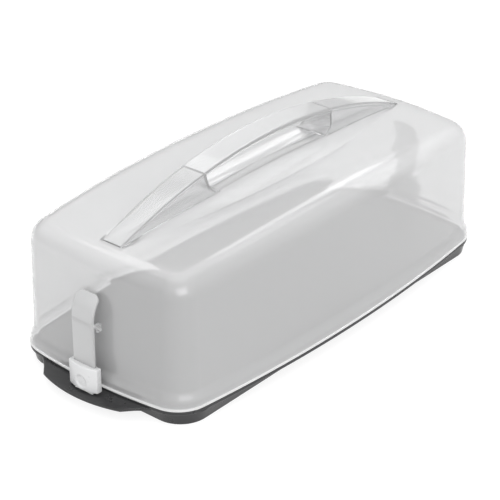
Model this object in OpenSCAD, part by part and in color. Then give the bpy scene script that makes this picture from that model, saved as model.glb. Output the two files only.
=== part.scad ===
// Loaf-cake carrier: a low tray, a clear bowed hood with a carry handle, and a snap clip at each end.
// Millimetres. The origin is the middle of the footprint, on the surface that the tray stands on.
// +X runs along the length and +Z is up.

/* [Outline in plan] */
// Length over the hood's rim
rim_len = 344; // [320:1:380]
// Width over the hood's rim
rim_w = 171; // [155:1:190]
// Radius of the rim's corners
rim_r = 24.6; // [23.6:0.2:30]
// How far each long side bows out between its corner arcs
side_bow = 8.9; // [5:0.1:10]
// How far each end bows out between its corner arcs
end_bow = 3.8; // [2:0.1:5]

/* [Hood] */
// Height of the hood's corners above the lower edge of its rim
hood_h = 90; // [80:1:110]
// Thickness of the hood's wall
hood_t = 2; // [1.6:0.1:2.4]
// Rise of the hood's top along the length
crown_long = 6.2; // [3:0.1:9]
// Rise of the hood's top across the width
crown_across = 2.4; // [1:0.1:4]
// Radius of the rolled edge round the top
top_r = 15; // [11:0.5:15]
// Draft of the walls in degrees
draft = 1.3; // [0.5:0.1:1.6]
// How far the rim stands out from the wall
rim_out = 3.2; // [2.6:0.1:4]
// Height of the rim
rim_h = 8.5; // [7:0.5:10]

/* [Handle seat on the hood's top] */
// Half width of the seat's outline in the middle of the carrier
seat_mid = 30.5; // [24:0.5:36]
// Half width of the seat's outline at its ends
seat_end = 9.6; // [9:0.1:12]
// How far the seat's crest stands above the top in the middle
seat_rise = 2.7; // [1:0.1:4]
// How far the seat's ends are sunk for the ends of the strap
seat_sink = 1.6; // [1.2:0.1:2]
// Depth of the valley between the crests, under the hand
seat_valley = 1.8; // [0.5:0.1:3]

/* [Tray] */
// Height of the flange that the hood's rim stands on
flange_z = 11.3; // [10:0.1:14]
// Thickness of the flange
flange_t = 2.5; // [2:0.1:3]
// How far the flange's edge lies inside the hood's rim
flange_in = 0.3; // [0.2:0.1:1.5]
// Rise of the deck above the flange
deck_rise = 4.3; // [3:0.1:5]
// Thickness of the tray's walls
tray_t = 2.2; // [1.8:0.1:2.6]
// Width of the shelf round the deck at the ends, from the hood's rim in
end_shelf = 15; // [13:0.5:20]
// Width of the shelf round the deck along the sides, from the hood's rim in
side_shelf = 19; // [14:0.5:24]
// Radius of the deck's corners
deck_r = 16; // [10:0.5:20]
// Distance from the hood's rim in to the foot at the ends
foot_end_in = 8; // [7:0.5:12]
// Distance from the hood's rim in to the foot along the sides
foot_side_in = 11.5; // [10:0.5:15]
// Radius of the foot's corners
foot_r = 21; // [16:0.5:26]
// How far the skirt leans out from its foot to its top
skirt_lean = 1.5; // [0.5:0.1:2]
// Width of the flat foot ring
foot_w = 3; // [2.4:0.1:4]
// Distance from the hood's rim in to the bead that keeps the hood in place
bead_in = 2.8; // [2.6:0.1:3.4]
// Height of that bead
bead_up = 2; // [1:0.1:2.6]
// Depth of the stiffening ribs under the deck
rib_d = 3; // [2:0.5:4]

/* [Grip tabs] */
// How far the middle of a grip tab reaches past the hood's rim
tab_out = 16; // [12:0.5:22]
// How much further out the middle of a tab's front edge is than its corners
tab_bow = 6; // [2:0.5:8]
// Half width of a grip tab at its front corners
tab_front = 35; // [25:1:45]
// Half width of a grip tab at its root
tab_root = 50; // [40:1:56]
// How far a tab's root lies below the flange's top
tab_sunk = 1.2; // [1:0.1:1.5]
// Fall of a tab from its root to its front edge
tab_fall = 0.6; // [0.2:0.1:1]
// Thickness of a grip tab
tab_t = 2; // [1.6:0.1:2.4]

/* [Carry handle] */
// Distance from the hood's rim in to the handle's ends
grip_in = 24; // [22:0.5:32]
// Rise of the handle's arch from its ends to its middle
grip_rise = 29.6; // [26:0.2:40]
// Half width of the strap at its ends
strap_end = 7.8; // [7:0.1:9]
// How much wider the strap's half width is in the middle
strap_swell = 2.3; // [0:0.1:4]
// Thickness of the strap
strap_t = 2.2; // [1.8:0.1:3]
// Half length of the hand opening at its floor
hand_x = 55.5; // [48:0.5:60]
// How far the foot of each web curves in towards the hand
web_sweep = 11.5; // [8:0.5:14]
// Height of the curve at the foot of each web
web_curve_h = 15; // [10:0.5:16]
// Thickness of the webs
web_t = 2; // [1.6:0.1:2.6]
// Thickness of the handle's side walls
cheek_t = 1.8; // [1.4:0.1:2.4]
// Half width of the side walls' foot beside the hand opening
cheek_mid = 13.4; // [12:0.1:15]
// Half width of the side walls' foot at the handle's ends
cheek_end = 8.6; // [8.2:0.1:9.4]
// Gap between the handle's foot and the hood
seat_gap = 0.2; // [0.1:0.05:0.3]

/* [End clips] */
// Width of a clip's lever
lever_w = 19.2; // [16:0.2:22]
// Thickness of a clip's lever
lever_t = 1.9; // [1.6:0.1:2.2]
// Gap between the hood's end wall and the lever's back, above the cap
lever_gap = 7.6; // [7.3:0.1:8]
// Height of the pivot above the rim's lower edge
pivot_h = 42.9; // [36:0.1:48]
// Height of the curl's tip above the rim's lower edge
tip_h = 66; // [62:0.5:72]
// Gap between the curl's tip and the hood's wall
tip_gap = 1.5; // [1.4:0.1:2.4]
// Radius of the pivot bead
bead_r = 1.3; // [1.1:0.05:1.5]
// Running clearance between the bead and its claws
bead_play = 0.06; // [0.03:0.01:0.1]
// Thickness of the claws behind and round the bead
claw_t = 1.2; // [1:0.1:1.6]
// Width of one claw
claw_w = 3; // [2:0.1:4]
// Distance between the middles of the two claws
claw_pitch = 12; // [9:0.5:14]
// Width of the cap
cap_w = 25.4; // [23:0.2:30]
// Height of the cap
cap_h = 18.3; // [16:0.1:22]
// How far the cap hangs below the rim's lower edge
cap_drop = 0.9; // [0.4:0.1:1]
// Depth of the cap from its back to the edges of its front
cap_t = 4.2; // [4:0.1:5]
// How far the cap's front bulges
cap_bulge = 2.8; // [1.5:0.1:3.4]
// Radius of the round thumb dimple
dimple_r = 4.6; // [3:0.1:6]
// Depth of the thumb dimple
dimple_d = 0.7; // [0.3:0.1:0.9]
// Gap between the cap and the hood's rim
cap_gap = 3; // [2.6:0.1:3.2]
// Reach of the catch under the tray's flange
catch_reach = 1.2; // [0.8:0.1:1.5]
// Height of the catch
catch_h = 2; // [1.6:0.1:2.4]
// Thickness of the catch's tongue
catch_t = 1.8; // [1.5:0.1:2.2]
// Width of the catch
catch_w = 16; // [12:0.5:18]
// Width of the slot for the catch, past the catch on each side
slot_side = 1; // [0.6:0.1:2]
// Gap between the catch and the flange
catch_gap = 0.3; // [0.2:0.05:0.4]
// Clearance round the lever in the cap
cap_fit = 0.15; // [0.1:0.05:0.2]

/* [Hidden] */
clear_plastic = [0.9, 0.92, 0.93, 0.35];
milky_plastic = [0.88, 0.9, 0.91, 0.75];
cap_plastic = [0.9, 0.91, 0.92];
tray_plastic = [0.25, 0.25, 0.26];

half_len = rim_len / 2;
half_w = rim_w / 2;
rim_play = 0.2;
rim_z = flange_z + rim_play;
deck_z = flange_z + deck_rise;
under_z = deck_z - tray_t;
grip_x = half_len - grip_in;
deck_x = half_len - end_shelf;
deck_y = half_w - side_shelf;
foot_x = half_len - foot_end_in;
foot_y = half_w - foot_side_in;
flange_under = flange_z - flange_t;

// Steps round one quarter of the outline: along the end, the corner and the long side.
end_steps = 3;
corner_steps = 9;
side_steps = 8;

// The bowed sides are arcs, and each corner arc touches the two sides that meet there.
function bow_radius(c, s) = (c * c + s * s) / (2 * s);
side_r = rim_r + bow_radius(half_len - rim_r - end_bow, side_bow);
end_r = rim_r + bow_radius(half_w - rim_r - side_bow, end_bow);
side_c = half_w - side_r;
end_c = half_len - end_r;
centres = norm([end_c, side_c]);
along = ((side_r - rim_r) ^ 2 - (end_r - rim_r) ^ 2 + centres ^ 2) / (2 * centres);
across = sqrt((side_r - rim_r) ^ 2 - along ^ 2);
corner = [0, side_c] + along * [end_c, -side_c] / centres + across * [-side_c, -end_c] / centres;
corner_from = atan2(corner.y, corner.x - end_c);
corner_to = atan2(corner.y - side_c, corner.x);

function polar(c, r, a) = c + r * [cos(a), sin(a)];

// One quarter of the outline, d inside the rim, from the middle of an end to the middle of a side.
function quarter(d) = concat(
    [for (i = [0 : end_steps - 1]) polar([end_c, 0], end_r - d, corner_from * i / end_steps)],
    [for (i = [0 : corner_steps])
        polar(corner, rim_r - d, corner_from + (corner_to - corner_from) * i / corner_steps)],
    [for (i = [1 : side_steps]) polar([0, side_c], side_r - d, corner_to + (90 - corner_to) * i / side_steps)]);

// The whole loop from one quarter, whose first and last points lie on the axes.
function around(q) = let (m = len(q) - 1) concat(
    [for (i = [0 : m - 1]) q[i]],
    [for (i = [m : -1 : 1]) [-q[i].x, q[i].y]],
    [for (i = [0 : m - 1]) [-q[i].x, -q[i].y]],
    [for (i = [m : -1 : 1]) [q[i].x, -q[i].y]]);

// A closed skin over a stack of loops, with a point at the middle of its first and last loop.
module skin(first, loops, last) {
    n = len(loops[0]);
    k = len(loops);
    function at(j, i) = 1 + j * n + (i % n);
    polyhedron(
        points = concat([first], [for (l = loops) for (p = l) p], [last]),
        faces = concat(
            [for (i = [0 : n - 1]) [0, at(0, i + 1), at(0, i)]],
            [for (j = [0 : k - 2]) for (i = [0 : n - 1]) [at(j, i), at(j, i + 1), at(j + 1, i + 1)]],
            [for (j = [0 : k - 2]) for (i = [0 : n - 1]) [at(j, i), at(j + 1, i + 1), at(j + 1, i)]],
            [for (i = [0 : n - 1]) [at(k - 1, i), at(k - 1, i + 1), 1 + k * n]]));
}

// ---- Surface of the hood's top ----
seat_x = grip_x + 1;
land_w = 2.6;
function share(x, to) = max(0, 1 - (x / to) ^ 2);
function seat_w(x) = seat_end + (seat_mid - seat_end) * share(x, seat_x);
function crown(x, y) = crown_long * share(x, half_len - wall_in(roll_h))
    + crown_across * share(y, half_w - wall_in(roll_h));
function foot_w_at(x) = cheek_end + (cheek_mid - cheek_end) * max(0, min(1, (grip_x - abs(x)) / (grip_x - hand_x)));
function crest(x) = (seat_rise + seat_sink) * share(x, seat_x) - seat_sink;
function valley(x, y) = seat_valley * share(x, seat_x) * share(y, foot_w_at(x) - land_w);
function raised(x, y) = let (f = foot_w_at(x) + 0.3, w = seat_w(x))
    abs(x) >= seat_x || abs(y) >= w ? 0
    : abs(y) <= f ? crest(x) - valley(x, y) : crest(x) * (w - abs(y)) / (w - f);
function top_z(x, y) = rim_z + hood_h + crown(x, y) + raised(x, y);

function wall_in(h) = rim_out + (h - rim_h) * tan(draft);
roll_h = hood_h - top_r;

// Profile entries are [distance inside the rim, height above the rim's lower edge, share of the crown].
function hood_profile() = concat(
    [for (a = [90 : -15 : 0]) [wall_in(roll_h) + top_r * (1 - cos(a)), roll_h + top_r * sin(a), 1]],
    [[wall_in(rim_h + 1.6), rim_h + 1.6, 0],
     [rim_out - 0.5, rim_h + 0.4, 0],
     [rim_out - 1.4, rim_h, 0],
     [0.9, rim_h - 0.8, 0],
     [0.2, rim_h - 2.2, 0],
     [0, rim_h - 3.8, 0],
     [0, 0.8, 0],
     [0.6, 0, 0],
     [hood_t - 0.4, 0, 0],
     [hood_t, 0.6, 0],
     [hood_t, rim_h - 3.4, 0],
     [hood_t + 0.6, rim_h - 2.2, 0],
     [wall_in(rim_h) + hood_t - 0.8, rim_h - 1.4, 0],
     [wall_in(rim_h) + hood_t, rim_h + 0.2, 0]],
    [for (a = [0 : 15 : 90])
        [wall_in(roll_h) + hood_t + (top_r - hood_t) * (1 - cos(a)), roll_h + (top_r - hood_t) * sin(a), 1]]);

top_loop = around(quarter(wall_in(roll_h) + top_r));
function hood_loop(e) = let (loop = around(quarter(e[0])))
    [for (i = [0 : len(loop) - 1])
        [loop[i].x, loop[i].y, rim_z + e[1] + e[2] * crown(top_loop[i].x, top_loop[i].y)]];

// Loops of the seat, with as many points as the hood's: w is the half width at a point along the seat.
seat_along = let (q = quarter(wall_in(roll_h) + top_r)) [for (j = [0 : len(q) - 1])
    j <= end_steps ? seat_x : seat_x * q[j].x / q[end_steps].x];
function seat_loop(reach, w) = around([for (j = [0 : len(seat_along) - 1])
    [reach * seat_along[j], w[j] * min(1, j / end_steps)]]);
land = [for (x = seat_along) foot_w_at(x) - land_w];
feet = [for (x = seat_along) foot_w_at(x) + 0.3];
seat_edge = [for (x = seat_along) seat_w(x)];
function lift(loop, drop) = [for (p = loop) [p.x, p.y, top_z(p.x, p.y) - drop]];
function between(a, b, s) = [for (i = [0 : len(a) - 1]) a[i] + (b[i] - a[i]) * s];

// From the middle of the top out to its rolled edge.
function top_loops(drop) = concat(
    [for (s = [0.35, 0.7, 1]) lift(seat_loop(0.985 + 0.003 * s, s * land), drop)],
    [lift(seat_loop(0.994, feet), drop)],
    [for (s = [0, 0.35, 0.7]) lift(between(seat_loop(1, seat_edge), top_loop, s), drop)]);
function backwards(list) = [for (i = [len(list) - 1 : -1 : 0]) list[i]];

// ---- Clips ----
// Distances along +X, for the clip at the rear end.
function wall_x(h) = half_len - wall_in(h);
lever_back = wall_x(cap_h) + lever_gap;
pivot_x = wall_x(pivot_h) + claw_t + bead_r + bead_play;
pivot_z = rim_z + pivot_h;
cap_back = half_len + cap_gap;
cap_foot = rim_z - cap_drop;
curl_dx = lever_back - wall_x(tip_h) - tip_gap;
curl_dz = tip_h - pivot_h - 6;
rib_a = 40;
rib_t = 1.4;
rib_play = 0.35;
swing = 2.8;
curl_a = 2 * atan(curl_dx / curl_dz);
curl_r = curl_dz / sin(curl_a);
curl_z = pivot_z + 6;

module hinge_claws() {
    reach = bead_r + bead_play + claw_t;
    mouth = rib_t + 2 * rib_play;
    for (s = [-1, 1])
        translate([pivot_x, s * claw_pitch / 2 + claw_w / 2, pivot_z])
            rotate([90, 0, 0])
                difference() {
                    union() {
                        cylinder(r = reach, h = claw_w, $fn = 48);
                        translate([-reach - 0.9, -reach, 0]) cube([reach + 0.9, 2 * reach, claw_w]);
                    }
                    translate([0, 0, -1]) cylinder(r = bead_r + bead_play, h = claw_w + 2, $fn = 48);
                    rotate([0, 0, rib_a + swing / 2]) translate([0, -mouth / 2, -1]) cube([reach + 2, mouth, claw_w + 2]);
                }
}

module hood() {
    slot_x = grip_x - 4;
    color(clear_plastic)
        difference() {
            union() {
                skin([0, 0, top_z(0, 0)],
                    concat(top_loops(0), [for (e = hood_profile()) hood_loop(e)], backwards(top_loops(hood_t))),
                    [0, 0, top_z(0, 0) - hood_t]);
                hinge_claws();
                mirror([1, 0, 0]) hinge_claws();
            }
            for (s = [-1, 1])
                translate([s * slot_x - tongue_t / 2 - tongue_fit, -tongue_w / 2 - tongue_fit, rim_z + hood_h - 8])
                    cube([tongue_t + 2 * tongue_fit, tongue_w + 2 * tongue_fit, 20]);
        }
}

// ---- Handle ----
tongue_t = 1.8;
tongue_w = 9;
tongue_fit = 0.25;
end_lift = 0.3;
function strap_z(x) = rim_z + hood_h + crown(grip_x, 0) + end_lift + grip_rise * share(x, grip_x);
function strap_w(x) = strap_end + strap_swell * share(x, grip_x);
function foot_z(x) = top_z(x, foot_w_at(x)) + seat_gap;
function web_z(x) = x >= hand_x + web_sweep ? 1000
    : foot_z(hand_x) + web_curve_h * (1 - sqrt(1 - (max(0, x - hand_x) / web_sweep) ^ 2));
function cheek_w(x, z) = foot_w_at(x) + (strap_w(x) - foot_w_at(x)) * (z - foot_z(x)) / (strap_z(x) - foot_z(x));

// A closed skin over a row of matching cross-sections.
module row_of(sections) {
    n = len(sections[0]);
    k = len(sections);
    function at(j, i) = j * n + (i % n);
    polyhedron(
        points = [for (s = sections) for (p = s) p],
        faces = concat(
            [[for (i = [0 : n - 1]) at(0, i)], [for (i = [n - 1 : -1 : 0]) at(k - 1, i)]],
            [for (j = [0 : k - 2]) for (i = [0 : n - 1]) [at(j, i), at(j + 1, i + 1), at(j, i + 1)]],
            [for (j = [0 : k - 2]) for (i = [0 : n - 1]) [at(j, i), at(j + 1, i), at(j + 1, i + 1)]]));
}

// One thin slice across the strap, with eased edges.
module strap_slice(x) {
    w = strap_w(x) + 0.3;
    z = strap_z(x);
    t = min(strap_t, z - foot_z(abs(x)) - 0.15);
    translate([x, 0, z])
        rotate([90, 0, 90])
            linear_extrude(0.02, center = true)
                polygon([[-w, -0.5], [-w, -t + 0.4], [-w + 0.4, -t], [w - 0.4, -t],
                    [w, -t + 0.4], [w, -0.5], [w - 0.6, 0], [-w + 0.6, 0]]);
}

// Strap: a thin arched band from end to end.
strap_steps = 44;
module strap() {
    for (i = [0 : strap_steps - 1])
        hull() {
            strap_slice(grip_x * (2 * i / strap_steps - 1));
            strap_slice(grip_x * (2 * (i + 1) / strap_steps - 1));
        }
}

// Hollow cheek between the hand opening and one end: two side walls under a roof.
// Towards the hand the roof is the web, which curves down and in to the hood.
function roof_z(x) = min(strap_z(x) - 0.5, web_z(x));
function ceiling_z(x) = max(foot_z(x) + (x < hand_x + web_sweep ? 0.15 : 0.45),
    min(strap_z(x) - strap_t + 0.6, web_z(x - web_t) - 0.4));
function cheek_section(x) = let (zf = foot_z(x), zr = max(roof_z(x), zf + 0.8), zc = min(ceiling_z(x), zr - 0.3),
        wf = cheek_w(x, zf), wr = min(cheek_w(x, zr), zr > web_z(x) - 0.1 ? 99 : strap_w(x) - 0.3), wc = cheek_w(x, zc))
    [[x, -wf, zf], [x, -wf + cheek_t, zf], [x, -wc + cheek_t, zc], [x, wc - cheek_t, zc],
     [x, wf - cheek_t, zf], [x, wf, zf], [x, wr, zr], [x, -wr, zr]];
cheek_x = concat(
    [for (a = [6, 20, 35, 50, 64, 76, 84, 88]) hand_x + web_sweep * sin(a)],
    [for (i = [0 : 15]) let (x0 = hand_x + web_sweep + 0.15) x0 + (grip_x - 1 - x0) * i / 15]);

module tongue() {
    z1 = strap_z(grip_x - 4) - 0.8;
    z0 = top_z(grip_x - 4, 0) - hood_t - 2.4;
    translate([grip_x - 4 - tongue_t / 2, -tongue_w / 2, z0]) cube([tongue_t, tongue_w, z1 - z0]);
    translate([grip_x - 4 + tongue_t / 2, tongue_w / 2, z0])
        rotate([90, 0, 0])
            linear_extrude(tongue_w) polygon([[-0.5, 0], [0.2, 0], [1, 1.6], [-0.5, 1.6]]);
}

module half_handle() {
    row_of([for (x = cheek_x) cheek_section(x)]);
    tongue();
}

module carry_handle() {
    color(milky_plastic)
        union() {
            strap();
            half_handle();
            rotate([0, 0, 180]) half_handle();
        }
}

// ---- Tray ----
// One quarter of a plain rounded rectangle, with as many points as the hood's outline.
function plain(hx, hy, r) = concat(
    [for (i = [0 : end_steps - 1]) [hx, (hy - r) * i / end_steps]],
    [for (i = [0 : corner_steps]) polar([hx - r, hy - r], r, 90 * i / corner_steps)],
    [for (i = [1 : side_steps]) [(hx - r) * (1 - i / side_steps), hy]]);
function deck_loop(d, z) = level(plain(deck_x - d, deck_y - d, deck_r - d), z);
function foot_loop(d, z) = level(plain(foot_x - d, foot_y - d, foot_r - d), z);
function rim_loop(d, z) = level(quarter(d), z);
function level(q, z) = [for (p = around(q)) [p.x, p.y, z]];

function tray_loops() = [
    deck_loop(1.6, deck_z),
    deck_loop(0.5, deck_z - 0.5),
    deck_loop(0, deck_z - 1.6),
    deck_loop(-0.4, flange_z + 1),
    deck_loop(-1.2, flange_z),
    rim_loop(bead_in + 1.8, flange_z),
    rim_loop(bead_in + 1.3, flange_z + bead_up),
    rim_loop(bead_in + 0.4, flange_z + bead_up),
    rim_loop(bead_in, flange_z + bead_up - 0.6),
    rim_loop(bead_in, flange_z),
    rim_loop(flange_in + 0.6, flange_z),
    rim_loop(flange_in, flange_z - 0.6),
    rim_loop(flange_in, flange_under + 0.5),
    rim_loop(flange_in + 0.6, flange_under),
    foot_loop(-skirt_lean - 0.8, flange_under),
    foot_loop(-skirt_lean, flange_under - 0.6),
    foot_loop(0, 0.8),
    foot_loop(0.5, 0),
    foot_loop(foot_w, 0),
    foot_loop(foot_w, 0.8),
    foot_loop(tray_t - skirt_lean + 0.4, flange_under - 1),
    foot_loop(tray_t - skirt_lean + 1.2, flange_z - tray_t),
    deck_loop(tray_t - 1.2, flange_z - tray_t),
    deck_loop(tray_t - 0.2, under_z - 1),
    deck_loop(tray_t + 0.8, under_z)];

// Rear tab: a thin plate that goes on from the flange, with a bowed front edge and a slot for the catch.
function tab_z(x) = flange_z - tab_sunk - tab_fall * max(0, x - half_len) / tab_out;
function tab_loop(d, drop) = let (r = bow_radius(tab_front, tab_bow), a = asin(tab_front / r),
        q = concat(
            [[foot_x, -tab_root + d], [half_len - 4, -tab_root + d]],
            [for (i = [-5 : 5]) polar([half_len + tab_out - r, 0], r - d, a * i / 5)],
            [[half_len - 4, tab_root - d], [foot_x, tab_root - d]]))
    [for (p = q) [p.x, p.y, tab_z(p.x) - drop]];
module grip_tab() {
    slot_from = half_len - flange_in - catch_reach - 0.8;
    slot_y = catch_w / 2 + slot_side;
    difference() {
        skin([half_len, 0, tab_z(half_len)],
            [tab_loop(0.7, 0), tab_loop(0, 0.6), tab_loop(0, tab_t - 0.6), tab_loop(0.7, tab_t)],
            [half_len, 0, tab_z(half_len) - tab_t]);
        translate([slot_from, -slot_y, 0])
            cube([cap_back + cap_t + 1.2 - slot_from, 2 * slot_y, flange_z]);
    }
}

module base_tray() {
    rib_x = deck_x * 0.57;
    rib_y = deck_y * 0.42;
    color(tray_plastic)
        union() {
            skin([0, 0, deck_z], tray_loops(), [0, 0, under_z]);
            grip_tab();
            mirror([1, 0, 0]) grip_tab();
            for (y = [-rib_y, rib_y])
                translate([-deck_x + 25, y - 0.8, under_z - rib_d]) cube([2 * deck_x - 50, 1.6, rib_d + 0.5]);
            for (x = [-rib_x, 0, rib_x])
                translate([x - 0.8, -deck_y + 7, under_z - rib_d]) cube([1.6, 2 * deck_y - 14, rib_d + 0.5]);
        }
}

// ---- Clip pieces, drawn for the rear end ----
function curl(r, a) = [lever_back - curl_r + r * cos(a), curl_z + r * sin(a)];
module clip_lever() {
    foot_z0 = cap_foot + 3.2;
    tip = curl(curl_r + lever_t / 2, curl_a);
    color(milky_plastic)
        intersection() {
            translate([0, lever_w / 2, 0])
                rotate([90, 0, 0])
                    union() {
                        linear_extrude(lever_w)
                            polygon(concat(
                                [[lever_back, foot_z0], [lever_back + lever_t, foot_z0]],
                                [for (i = [0 : 10]) curl(curl_r + lever_t, curl_a * i / 10)],
                                [for (i = [1 : 5]) tip + lever_t / 2 * [cos(curl_a + 30 * i), sin(curl_a + 30 * i)]],
                                [for (i = [10 : -1 : 0]) curl(curl_r, curl_a * i / 10)]));
                        translate([pivot_x, pivot_z, 0])
                            rotate([0, 0, rib_a])
                                translate([0, -rib_t / 2, 0])
                                    cube([(lever_back + 0.8 - pivot_x) / cos(rib_a), rib_t, lever_w]);
                        translate([pivot_x, pivot_z, 0]) cylinder(r = bead_r, h = lever_w, $fn = 48);
                    }
            lever_front();
        }
}

// The lever seen from the end: straight sides and a rounded top.
module lever_front() {
    r = 4;
    z1 = rim_z + tip_h + 2;
    translate([half_len - 20, 0, 0])
        rotate([90, 0, 90])
            linear_extrude(60)
                polygon(concat(
                    [[-lever_w / 2, 0], [lever_w / 2, 0]],
                    [for (i = [0 : 6]) [lever_w / 2 - r, z1 - r] + r * [cos(15 * i), sin(15 * i)]],
                    [for (i = [6 : 12]) [-lever_w / 2 + r, z1 - r] + r * [cos(15 * i), sin(15 * i)]]));
}

module clip_cap() {
    bulge_r = bow_radius(cap_w / 2, cap_bulge);
    front = cap_back + cap_t + cap_bulge;
    dimple_ball = (dimple_r ^ 2 + dimple_d ^ 2) / (2 * dimple_d);
    color(cap_plastic)
        difference() {
            union() {
                intersection() {
                    translate([0, 0, cap_foot])
                        linear_extrude(cap_h)
                            polygon(concat(
                                [[cap_back + 0.6, -cap_w / 2], [cap_back, -cap_w / 2 + 0.6],
                                 [cap_back, cap_w / 2 - 0.6], [cap_back + 0.6, cap_w / 2]],
                                [for (i = [-8 : 8]) let (y = -i / 8 * (cap_w / 2 - 0.7), e = i == -8 || i == 8 ? 0.6 : 0)
                                    [front - bulge_r + sqrt(bulge_r ^ 2 - y ^ 2) - e, y + (e == 0 ? 0 : sign(y) * 0.7)]]));
                    translate([0, cap_w, 0])
                        rotate([90, 0, 0])
                            linear_extrude(2 * cap_w)
                                polygon([[cap_back - 1, cap_foot + 1.2], [cap_back, cap_foot + 0.3],
                                    [cap_back + 0.5, cap_foot], [front - 1.4, cap_foot],
                                    [front - 0.4, cap_foot + 0.4], [front, cap_foot + 1.4],
                                    [front, cap_foot + cap_h - 1.4], [front - 0.4, cap_foot + cap_h - 0.4],
                                    [front - 1.4, cap_foot + cap_h], [cap_back - 1, cap_foot + cap_h]]);
                }
                catch();
            }
            translate([lever_back - cap_fit, -lever_w / 2 - cap_fit, cap_foot + 3])
                cube([lever_t + 2 * cap_fit, lever_w + 2 * cap_fit, cap_h]);
            translate([front - dimple_d + dimple_ball, 0, rim_z + 5.7]) sphere(r = dimple_ball, $fn = 64);
        }
}

// Barbed tongue that goes down through the tab's slot, with its barb under the tray's flange.
module catch() {
    reach_x = half_len - flange_in - catch_reach;
    z1 = flange_under - catch_gap;
    translate([0, catch_w / 2, 0])
        rotate([90, 0, 0])
            linear_extrude(catch_w)
                polygon([[reach_x, z1], [reach_x, z1 - 0.7], [cap_back + 0.3, z1 - catch_h],
                    [cap_back + catch_t, z1 - catch_h], [cap_back + catch_t + 0.2, cap_foot + 1],
                    [cap_back + 0.1, cap_foot + 1], [cap_back + 0.1, z1]]);
}

module rear_clip_lever() {
    clip_lever();
}

module rear_clip_cap() {
    clip_cap();
}

module front_clip_lever() {
    mirror([1, 0, 0]) clip_lever();
}

module front_clip_cap() {
    mirror([1, 0, 0]) clip_cap();
}

base_tray();
hood();
carry_handle();
front_clip_lever();
front_clip_cap();
rear_clip_lever();
rear_clip_cap();
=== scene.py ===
"""Looks of a long cake carrier: a dark tray, a clear bowed hood, an arched carry handle and two end clips."""

import math

import bmesh
import bpy
from bpy.props import FloatProperty, FloatVectorProperty, PointerProperty
from mathutils import Matrix, Vector


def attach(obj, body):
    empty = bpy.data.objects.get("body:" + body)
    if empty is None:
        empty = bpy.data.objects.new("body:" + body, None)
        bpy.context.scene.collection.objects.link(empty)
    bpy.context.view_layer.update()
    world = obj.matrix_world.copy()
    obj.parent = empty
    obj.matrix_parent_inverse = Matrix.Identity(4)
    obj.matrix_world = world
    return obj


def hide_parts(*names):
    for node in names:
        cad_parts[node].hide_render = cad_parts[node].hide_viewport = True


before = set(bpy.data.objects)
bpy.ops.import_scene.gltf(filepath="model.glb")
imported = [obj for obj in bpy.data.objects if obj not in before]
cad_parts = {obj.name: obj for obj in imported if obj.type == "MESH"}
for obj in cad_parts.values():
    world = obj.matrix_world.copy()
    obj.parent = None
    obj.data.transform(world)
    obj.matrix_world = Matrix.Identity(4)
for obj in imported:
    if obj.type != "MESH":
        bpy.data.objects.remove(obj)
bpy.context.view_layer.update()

bl_info = {
    "name": "Cake carrier",
    "version": (1, 0, 0),
    "blender": (4, 5, 0),
    "location": "View3D > Sidebar > Cake carrier",
    "description": "Dresses a cake carrier: tray, hood, carry handle, clips and studio",
    "category": "Object",
}

MM = 0.001
MERGE = 1e-6

# Points on a quarter of the plan outline
END_STEPS, CORNER_STEPS, SIDE_STEPS = 8, 18, 26

# Millimetres: the hood's rim (foot, height of its flare, reach past the wall) and the tray's flange
RIM_Z, RIM_H, RIM_OUT = 11.5, 8.5, 3.2
FLANGE_Z, FLANGE_IN, FLANGE_T, TRAY_WALL = 11.3, 0.3, 2.5, 2.2


def length(name, description, default):
    """A size in metres that the panel shows with its unit."""
    return FloatProperty(name=name, description=description, default=default, unit="LENGTH", subtype="DISTANCE",
                         precision=4)


def colour(name, description, default):
    """A plain linear colour for the panel."""
    return FloatVectorProperty(name=name, description=description, default=default, size=4, subtype="COLOR",
                               min=0, max=1)


class CarrierSizes(bpy.types.PropertyGroup):
    rim_len: length("Rim length", "Length over the hood's rim", 0.344)
    rim_w: length("Rim width", "Width over the hood's rim", 0.171)
    rim_r: length("Corner radius", "Radius of the rim's corners", 0.0246)
    side_bow: length("Side bow", "How far each long side bows out", 0.0089)
    end_bow: length("End bow", "How far each end bows out", 0.0038)
    hood_h: length("Hood height", "Height of the hood's corners above its rim's lower edge", 0.090)
    hood_t: length("Wall", "Thickness of the hood's wall", 0.002)
    crown_long: length("Long crown", "Rise of the hood's top along its length", 0.0062)
    crown_across: length("Cross crown", "Rise of the hood's top across its width", 0.0024)
    top_r: length("Rolled edge", "Radius of the rolled edge round the top", 0.015)
    grip_in: length("Handle inset", "Distance from the rim in to the handle's ends", 0.024)
    grip_rise: length("Arch", "Rise of the handle's arch", 0.0296)
    strap_end: length("Strap end", "Half width of the handle's strap at its ends", 0.0078)
    strap_swell: length("Strap swell", "How much wider the strap's half width is in its middle", 0.0023)
    strap_t: length("Strap", "Thickness of the strap", 0.0022)
    lever_w: length("Lever width", "Width of a clip's lever", 0.0192)
    cap_w: length("Cap width", "Width of a clip's cap", 0.0254)
    cap_h: length("Cap height", "Height of a clip's cap", 0.0183)


class CarrierFinish(bpy.types.PropertyGroup):
    hood: colour("Hood", "Tint of the clear hood", (0.85, 0.852, 0.855, 1))
    handle: colour("Handle", "Tint of the carry handle", (0.82, 0.823, 0.826, 1))
    lever: colour("Lever", "Colour of the clips' levers", (0.74, 0.743, 0.746, 1))
    cap: colour("Cap", "Colour of the clips' caps", (0.6, 0.603, 0.607, 1))
    tray: colour("Tray", "Colour of the dark tray", (0.02, 0.02, 0.021, 1))
    floor: colour("Floor", "Colour of the studio floor", (0.2, 0.2, 0.2, 1))


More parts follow.
